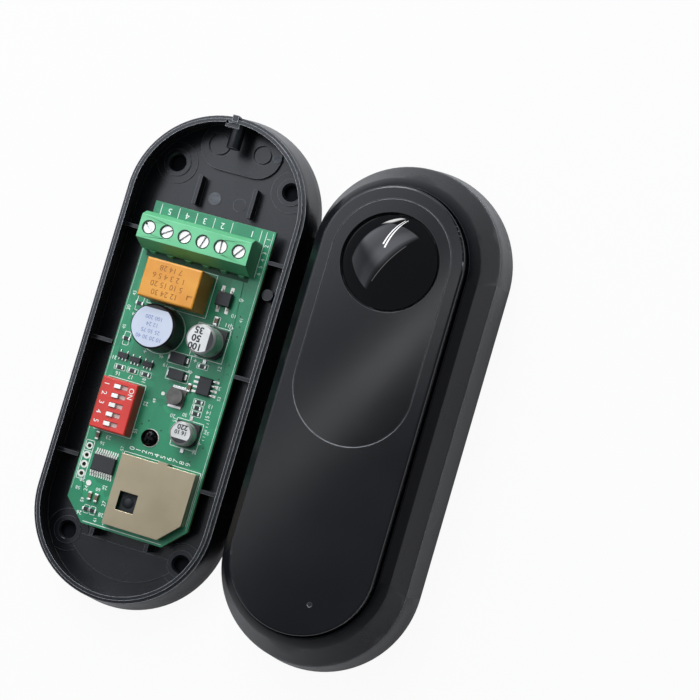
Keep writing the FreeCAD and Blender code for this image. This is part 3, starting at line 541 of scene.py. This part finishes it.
dress("relay_case", relay_polyester)
relay_low, relay_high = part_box("relay_case")
relay_mid = (relay_low + relay_high) / 2
relay_print = bmesh.new()
rows_into(relay_print, ("12 24 30", "5 10 15 20", "1 2 3 4 5 6", "7 14 28"), 2.1, 2.2,
          Vector((relay_mid.x - 0.6 * mm, relay_mid.y, relay_high.z)))
place_piece("relay_numbers", relay_print, pressed_ink, "receiver")


# Buzzer: a piezo sounder in a round cup of black resin. A round film of white paper covers its
# port, cut straight on one side to give a lifting tab and stamped with numbers in blue.
cup_resin = moulded("moulded_black_resin", "#141414", "#1f1f20", (0.38, 0.5), 0.3, 0.012)
film_paper = moulded("white_paper_film", "#b4bccb", "#c2c9d6", (0.6, 0.75), 0.25, 0.02)
stamp_ink = moulded("blue_stamp_ink", "#6472a4", "#7683b0", (0.6, 0.7), 0.2, 0.01, 2.0)
dress("buzzer_body", cup_resin)
dress("buzzer_seal", film_paper, 0.03)
seal_low, seal_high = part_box("buzzer_seal")
seal_mid = (seal_low + seal_high) / 2
seal_print = bmesh.new()
rows_into(seal_print, ("10 20 30 40", "25 50 75", "12 24", "100 200"), 1.5, 1.8,
          Vector((seal_mid.x, seal_mid.y, seal_high.z)))
place_piece("buzzer_numbers", seal_print, stamp_ink, "receiver")


# Electrolytic capacitors: drawn aluminium cans crimped over a rubber plug, on a square resin
# seat. The flat top is bright, with its values and a segment on the minus side printed black.
can_aluminium = metal("drawn_aluminium", "#c8c8c3", "#d8d8d4", (0.38, 0.46), 0.3, bare=0.8)
top_print = moulded("black_can_print", "#17181a", "#222325", (0.4, 0.55), 0.3, 0.005)
print_inset = 0.5
segment_height = 0.02
segment_steps = 24
for name, start, arc, rows in (
        ("large", -52, 104,
         (("100", 2.5, -0.9, -2.2), ("50", 2.5, -1.1, 0.0), ("35", 2.5, -0.9, 2.2))),
        ("small", -146, 112, (("220", 1.9, 0.1, 1.7), ("16 10", 1.5, 0.0, 0.2)))):
    dress(f"{name}_capacitor_can", can_aluminium)
    dress(f"{name}_capacitor_base", cup_resin, 0.12)
    low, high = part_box(f"{name}_capacitor_can")
    centre = (low + high) / 2
    radius = (high.x - low.x) / 2 - print_inset * mm
    angles = [math.radians(start + arc * step / segment_steps)
              for step in range(segment_steps + 1)]
    cap = bmesh.new()
    loft_into(cap, *([Vector((centre.x + radius * math.cos(angle),
                              centre.y + radius * math.sin(angle), high.z + z * mm))
                      for angle in angles] for z in (0.0, segment_height)))
    for digits, size, x, y in rows:
        numeral_into(cap, digits, size,
                     Vector((centre.x + x * mm, centre.y + y * mm, high.z)), 180, 0.03)
    place_piece(f"{name}_capacitor_print", cap, top_print, "receiver")


# Slide switch: a red polyester housing with five white knobs in their slots, all to the left.
# The pale floor of each slot is the knob's own foot, and the numbers are printed in white.
switch_polyester = moulded("switch_red_polyester", "#b8271e", "#cc372d", (0.34, 0.46), 0.5,
                           0.012, 8.0)
knob_acetal = moulded("white_acetal_knob", "#dddcd6", "#f0efea", (0.4, 0.5), 0.4, 0.01, 3.0)
foot_acetal = moulded("acetal_foot", "#b39b93", "#c1aaa2", (0.5, 0.6), 0.4, 0.01, 3.0)
numeral_inset = 1.5
knob_travel = 1.8
slot_foot_height = 1.1
dress("dip_switch_housing", switch_polyester, 0.1)
switch_low, switch_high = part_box("dip_switch_housing")
switch_print = bmesh.new()
slot_feet = bmesh.new()
for number in range(1, 6):
    dress(f"dip_slider_{number}", knob_acetal, 0.12)
    knob_low, knob_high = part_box(f"dip_slider_{number}")
    middle = (knob_low.y + knob_high.y) / 2
    numeral_into(switch_print, str(number), 2.0,
                 Vector((switch_low.x + numeral_inset * mm, middle, switch_high.z)), -90)
    box_into(slot_feet, knob_low, Vector((knob_high.x + knob_travel * mm, knob_high.y,
                                          knob_low.z + slot_foot_height * mm)))
numeral_into(switch_print, "ON", 2.0,
             Vector((switch_high.x - numeral_inset * mm, switch_high.y - 2.9 * mm,
                     switch_high.z)), -90)
place_piece("switch_numbers", switch_print, legend_ink, "receiver")
place_piece("switch_slot_feet", slot_feet, foot_acetal, "receiver")


# Chips: integrated circuits in black epoxy, with tinned legs bent down to the board. The resin
# is matt from the mould, and a round dimple marks the first leg.
chip_epoxy = moulded("black_chip_epoxy", "#1b1c1e", "#27282a", (0.45, 0.58), 0.12, 0.006, 4.0)
dimple_resin = moulded("polished_dimple", "#2c2d2f", "#343537", (0.25, 0.3), 0.4, 0.004)
for node in ("microcontroller", "comparator", "optocoupler"):
    dress(node, chip_epoxy, 0.05)
dress("chip_leads", tinned_pad)
dimples = bmesh.new()
for x, y, z in ((-12.3, -29.0, 1.22), (9.2, 1.4, 1.62), (7.5, 24.6, 2.22)):
    disc_into(dimples, on_board(x, y, z), 0.3, 0.01, 20)
place_piece("chip_dimples", dimples, dimple_resin, "receiver")


# Small parts: diodes, transistors, resistors and ceramic capacitors, soldered to tinned pads.
# A bright fillet at each end is a little wider than the part, and laps over its end cap.
glazed_film = moulded("glazed_resistor", "#101113", "#1c1d20", (0.22, 0.32), 0.3, 0.004, 2.0)
fired_ceramic = moulded("fired_ceramic", "#5a4b39", "#705e48", (0.4, 0.5), 0.2, 0.008, 2.0)
solder = metal("bright_solder", "#c4c4c0", "#efeeea", (0.2, 0.34), 0.6, 0.02, bare=0.7)
for node, material, edge in (("diodes", chip_epoxy, 0.12), ("transistors", chip_epoxy, 0.08),
                             ("chip_resistors", glazed_film, 0.05),
                             ("chip_capacitors", fired_ceramic, 0.08)):
    dress(node, material, edge)
diode_places = ((1.6, 4.9), (2.4, 0.6))
transistor_places = ((-13.5, 1.7), (-9.9, 1.4), (-6.2, 1.2))
ceramic_places = ((8.5, 17.2), (-13.9, -20.6), (-11.2, -36.6), (-9.3, -36.7), (6.6, -1.7))
joints = bmesh.new()


def solder_ends(x, y, length, width, height, along_x):
    """A fillet at each end of a small part, sized in mm like the part itself."""
    reach, lap, wider, higher = 0.32, 0.22, 0.08, 0.03
    ends_into(joints, x, y, length / 2 - lap, length / 2 + reach, width + wider,
              height + higher, along_x)


for x, y in resistors + [(-13.4, 16.3), (-14.1, 6.3)] + low_resistors:
    solder_ends(x, y, 1.6, 0.85, 0.5, True)
for x, y in ceramic_places:
    solder_ends(x, y, 1.7, 0.9, 0.9, False)
for x, y in diode_places:
    ends_into(joints, x, y, 2.15, 2.85, 1.5, 0.9, True)
for x, y, near, far in ((8.5, 11.2, 4.6, 5.8), (9.5, -13.8, 3.8, 5.0)):     # tall capacitors
    ends_into(joints, x, y, near, far, 1.0, 0.3, False)
leg_half = 0.2
leg_spacing = 0.95
leg_height = 0.35
for x, y in transistor_places:
    for leg, near, far in ((-1, -1.45, -0.7), (0, -1.45, -0.7), (1, -1.45, -0.7),
                           (-1, 0.7, 1.35), (1, 0.7, 1.35)):
        middle = x + leg * leg_spacing
        box_into(joints, on_board(middle - leg_half, y + near),
                 on_board(middle + leg_half, y + far, leg_height))
place_piece("solder_joints", joints, solder, "receiver", 0.1)


# Inductor: copper wire on a ferrite drum, which is wider at both ends and stands on two tinned
# tabs. The ferrite is dark, ground flat on top, with a faint round mark from the press.
ferrite = moulded("ground_ferrite", "#43423e", "#605e59", (0.4, 0.55), 0.3, 0.015, 2.0)
inductor_x, inductor_y, inductor_height = 4.0, -5.0, 3.0
dress("inductor", ferrite, 0.15)
tabs = bmesh.new()
ends_into(tabs, inductor_x, inductor_y, 2.1, 3.0, 3.8, 0.35, False)
place_piece("inductor_tabs", tabs, solder, "receiver", 0.08)
drum_top = bmesh.new()
ring_into(drum_top, on_board(inductor_x, inductor_y, inductor_height), 0.85, 1.15, 0.03)
place_piece("inductor_mark", drum_top, ferrite, "receiver")


# Shield: tinned steel sheet, folded down on all sides and soldered over the light receiver,
# whose dark resin shows in the square window. The rolled surface is satin and warm grey, with a
# painted highlight along the folds that face up towards the lamps.
shield_tin = metal("tinned_shield_steel", "#a89b80", "#b3a68b", (0.28, 0.36), 1.2, 0.003, 12.0,
                   0.9, ("#fbf6ea", 0.16, (0.0, 0.9, 0.4)))
sensor_resin = moulded("dark_sensor_resin", "#101416", "#14181b", (0.6, 0.7), 0.6, 0.004)
dress("shield_can", shield_tin, 0.12)
dress("ir_receiver", sensor_resin, 0.08)


# Inside of the closed unit: an infrared diode in tinted epoxy and a few driver parts, on the
# same kind of board as the receiver's.
diode_epoxy = moulded("tinted_diode_epoxy", "#1a1426", "#241c33", (0.06, 0.12), 0.8, 0.002)
dress("emitter_diode", diode_epoxy, 0.05)
dress("emitter_driver_parts", chip_epoxy, 0.08)


# Front of the closed unit: a deep cover in black ABS, moulded with a satin flank and a sloped
# ring, and a polished face plate set in the ring. The cover's lower edge meets the rear shell
# on a fine line. Painted highlights lighten the edges of the cover and the plate that face up
# towards the lamps.
front_abs = moulded("satin_front_abs", "#0a0b0e", "#101115", (0.22, 0.3), 0.35, 0.006, 20.0,
                    0.1, ("#4c4f55", 0.2, (-0.4, 0.8, 0.4)))
plate_abs = moulded("polished_plate_abs", "#090a0d", "#0e0f12", (0.12, 0.16), 0.5, 0.003, 26.0,
                    edge_highlight=("#f0f2f5", 0.32, (0.1, 0.95, 0.1)))
dress("front_cover", front_abs, 0.25, 3, 15)
dress("face_plate", plate_abs, 0.3, 3, 30)


# Window and lens: panels that pass infrared light only, moulded in a black tinted acrylic. Both
# come from a mirror finished mould, so the dome shows the studio's lamps as sharp lines. The
# window's edges that face up towards the lamps carry a painted highlight. A clear rod near the
# other end of the face carries the indicator's light.
window_acrylic = moulded("tinted_window_acrylic", "#08090b", "#0b0c0e", (0.09, 0.12), 0.8, 0.002,
                         26.0, edge_highlight=("#f0f2f5", 0.2, (0.1, 0.95, 0.1)))
lens_acrylic = moulded("tinted_lens_acrylic", "#020203", "#040405", (0.01, 0.03), 0.9, 0.001, 9.0)
clear_acrylic = moulded("clear_light_rod", "#1b1c1f", "#232427", (0.2, 0.28), 0.4, 0.002, 3.0)
dress("window_panel", window_acrylic, 0.3, 3, 30)
dress("lens_dome", lens_acrylic)
dress("indicator_light_pipe", clear_acrylic)


# Paper: a pale sheet below the pair, lit up to plain white. The part of it that lies under the
# opened shell is painted dark, as the shell's shadow, and shows through the fixing holes.
half = 6.0
sweep = bpy.data.meshes.new("sweep")
sweep.from_pydata([(-half, -half, 0), (half, -half, 0), (half, half, 0), (-half, half, 0)],
                  [], [(0, 1, 2, 3)])
floor = bpy.data.objects.new("sweep", sweep)
bpy.context.scene.collection.objects.link(floor)
paper, tree = empty_material("pale_paper_sweep")
place = add(tree, "ShaderNodeTexCoord")
fibres = add(tree, "ShaderNodeTexNoise", {
    "Vector": place.outputs["Object"], "Scale": per_mm(3.0), "Detail": 2.0})
pale = add(tree, "ShaderNodeMix", {
    "Factor": fibres.outputs["Fac"], "A": linear("#bcbcbc"), "B": linear("#c4c4c4")},
    data_type="RGBA")

# The shell's outline, a little inside its edge: a point lies under it where it is nearer than
# the radius to the straight line between the two round ends.
shell_radius = (shell_high.x - shell_low.x) / 2
shell_straight = (shell_high.y - shell_low.y) / 2 - shell_radius
outline_inset = 2.0
apart = add(tree, "ShaderNodeSeparateXYZ", {"Vector": place.outputs["Object"]})
across = add(tree, "ShaderNodeMath", {0: apart.outputs["X"], 1: shell_mid.x},
             operation="SUBTRACT")
across = add(tree, "ShaderNodeMath", {0: across.outputs[0], 1: 2.0}, operation="POWER")
along = add(tree, "ShaderNodeMath", {0: apart.outputs["Y"], 1: shell_mid.y},
            operation="SUBTRACT")
along = add(tree, "ShaderNodeMath", {0: along.outputs[0]}, operation="ABSOLUTE")
along = add(tree, "ShaderNodeMath", {0: along.outputs[0], 1: shell_straight},
            operation="SUBTRACT")
along = add(tree, "ShaderNodeMath", {0: along.outputs[0], 1: 0.0}, operation="MAXIMUM")
reach = add(tree, "ShaderNodeMath", {0: along.outputs[0], 1: along.outputs[0],
                                     2: across.outputs[0]}, operation="MULTIPLY_ADD")
free = add(tree, "ShaderNodeMath", {
    0: reach.outputs[0], 1: (shell_radius - outline_inset * mm) ** 2}, operation="GREATER_THAN")
# Painted shadow: under the shell the paper takes a dark colour.
colour = add(tree, "ShaderNodeMix", {
    "Factor": free.outputs[0], "A": linear("#1a1b1e"), "B": pale.outputs["Result"]},
    data_type="RGBA")
matt = add(tree, "ShaderNodeBsdfDiffuse", {"Color": colour.outputs["Result"]})

# The paper's own light: full to the eye, faint in what mirrors it, none below the shell, where
# the paper is painted in shadow.
glow = add(tree, "ShaderNodeEmission", {"Color": linear("#ffffff"), "Strength": 1.0})
full, faint = 0.94, 0.15
light_path = add(tree, "ShaderNodeLightPath")
mirrored = add(tree, "ShaderNodeMath", {0: light_path.outputs["Is Glossy Ray"],
                                        1: light_path.outputs["Is Transmission Ray"]},
               operation="MAXIMUM")
seen = add(tree, "ShaderNodeMath", {0: mirrored.outputs[0], 1: faint,
                                    2: light_path.outputs["Is Camera Ray"]},
           operation="MULTIPLY_ADD")
lit = add(tree, "ShaderNodeMath", {0: free.outputs[0], 1: full}, operation="MULTIPLY")
share = add(tree, "ShaderNodeMath", {0: seen.outputs[0], 1: lit.outputs[0]},
            operation="MULTIPLY")
mixed = add(tree, "ShaderNodeMixShader", {0: share.outputs[0], 1: matt.outputs[0],
                                          2: glow.outputs[0]})
finish(tree, mixed)
sweep.materials.append(paper)


# Studio: a dim room with soft panels below its ceiling, all to the left of the pair. The long
# edge of the first panel runs slantwise over the window, and two thin tubes and a far window
# draw the lines and the arc on the dome.
world = bpy.data.worlds.new("studio")
bpy.context.scene.world = world
world.use_nodes = True
world.node_tree.nodes.clear()
room = add(world.node_tree, "ShaderNodeBackground", {"Color": linear("#ccd2dc"),
                                                     "Strength": 0.26})
away = add(world.node_tree, "ShaderNodeOutputWorld")
world.node_tree.links.new(room.outputs[0], away.inputs["Surface"])


def panel(name, place, width, length, turn, brightness, tint="#ffffff"):
    """A soft rectangular lamp that faces down, where 1 is the brightness of lit white paper."""
    light = bpy.data.lights.new(name, "AREA")
    light.shape = "RECTANGLE"
    light.size = width
    light.size_y = length
    light.energy = brightness * math.pi * width * length
    light.color = linear(tint)[:3]
    holder = bpy.data.objects.new(name, light)
    bpy.context.scene.collection.objects.link(holder)
    holder.location = place
    holder.rotation_euler = (0, 0, math.radians(turn))
    holder.visible_camera = False
    return holder


def uneven_cloth(holder, across, along):
    """Gives a panel an uneven cloth: its brightness at stops across and along, from 0 to 1."""
    light = holder.data
    light.use_nodes = True
    light.node_tree.nodes.clear()
    tree = light.node_tree
    place = add(tree, "ShaderNodeNewGeometry")
    apart = add(tree, "ShaderNodeSeparateXYZ", {"Vector": place.outputs["Parametric"]})
    ramps = []
    for axis, stops in (("X", across), ("Y", along)):
        ramp = add(tree, "ShaderNodeValToRGB", {"Fac": apart.outputs[axis]})
        ramp.color_ramp.interpolation = "EASE"
        for where, level in stops[1:-1]:
            ramp.color_ramp.elements.new(where)
        for element, (where, level) in zip(ramp.color_ramp.elements, stops):
            element.position = where
            element.color = (level, level, level, 1.0)
        ramps.append(ramp)
    both = add(tree, "ShaderNodeMath", {0: ramps[0].outputs["Color"],
                                        1: ramps[1].outputs["Color"]}, operation="MULTIPLY")
    cloth = add(tree, "ShaderNodeEmission", {"Strength": both.outputs[0]})
    end = add(tree, "ShaderNodeOutputLight")
    tree.links.new(cloth.outputs[0], end.inputs["Surface"])


panel("panel_edge", (-0.131, 0.043, 0.830), width=0.018, length=1.3, turn=-30,
      brightness=2.6, tint="#f3f4f4")
key = panel("key_panel", (-0.933, 0.679, 0.835), width=2.0, length=2.8, turn=-30,
            brightness=4.7, tint="#f0f5ff")
uneven_cloth(key, [(0.0, 0.24), (0.12, 0.56), (0.25, 0.6), (0.45, 0.48), (0.7, 0.4),
                   (0.86, 0.6), (0.92, 0.6), (0.96, 0.26), (0.985, 0.1), (1.0, 0.04)],
             [(0.0, 0.36), (0.2, 0.32), (0.33, 0.25), (0.47, 0.97), (0.55, 1.0), (1.0, 0.6)])
panel("tube_one", (-0.30, 2.9, 0.825), width=0.045, length=5.0, turn=0, brightness=25.0)
panel("tube_two", (-0.42, 2.5, 0.825), width=0.045, length=4.0, turn=1, brightness=25.0)
window = panel("far_window", (-1.18, 4.70, 0.820), width=0.8, length=4.7, turn=-1,
               brightness=14.0)
uneven_cloth(window, [(0.0, 1.0), (0.6, 1.0), (1.0, 0.1)], [(0.0, 0.3), (0.12, 1.0), (1.0, 0.8)])
scrim = panel("overhead_scrim", (-0.30, 0.30, 0.8), width=0.7, length=0.7, turn=0,
              brightness=2.4, tint="#f6f9ff")
scrim.visible_glossy = False


# Camera: a long lens half a metre above the pair, leaning to the right and turned a little, so
# that both units lie slantwise in a square frame.
view = bpy.data.cameras.new("camera")
view.sensor_width = 36.0
view.lens = 102.73
view.clip_start = 0.01
view.clip_end = 20.0
camera = bpy.data.objects.new("camera", view)
bpy.context.scene.collection.objects.link(camera)
camera.location = (128.17 * mm, -11.45 * mm, 517.78 * mm)
camera.rotation_euler = [math.radians(angle) for angle in (6.28, 10.813, 16.679)]
bpy.context.scene.camera = camera
bpy.context.scene.view_settings.view_transform = "Standard"
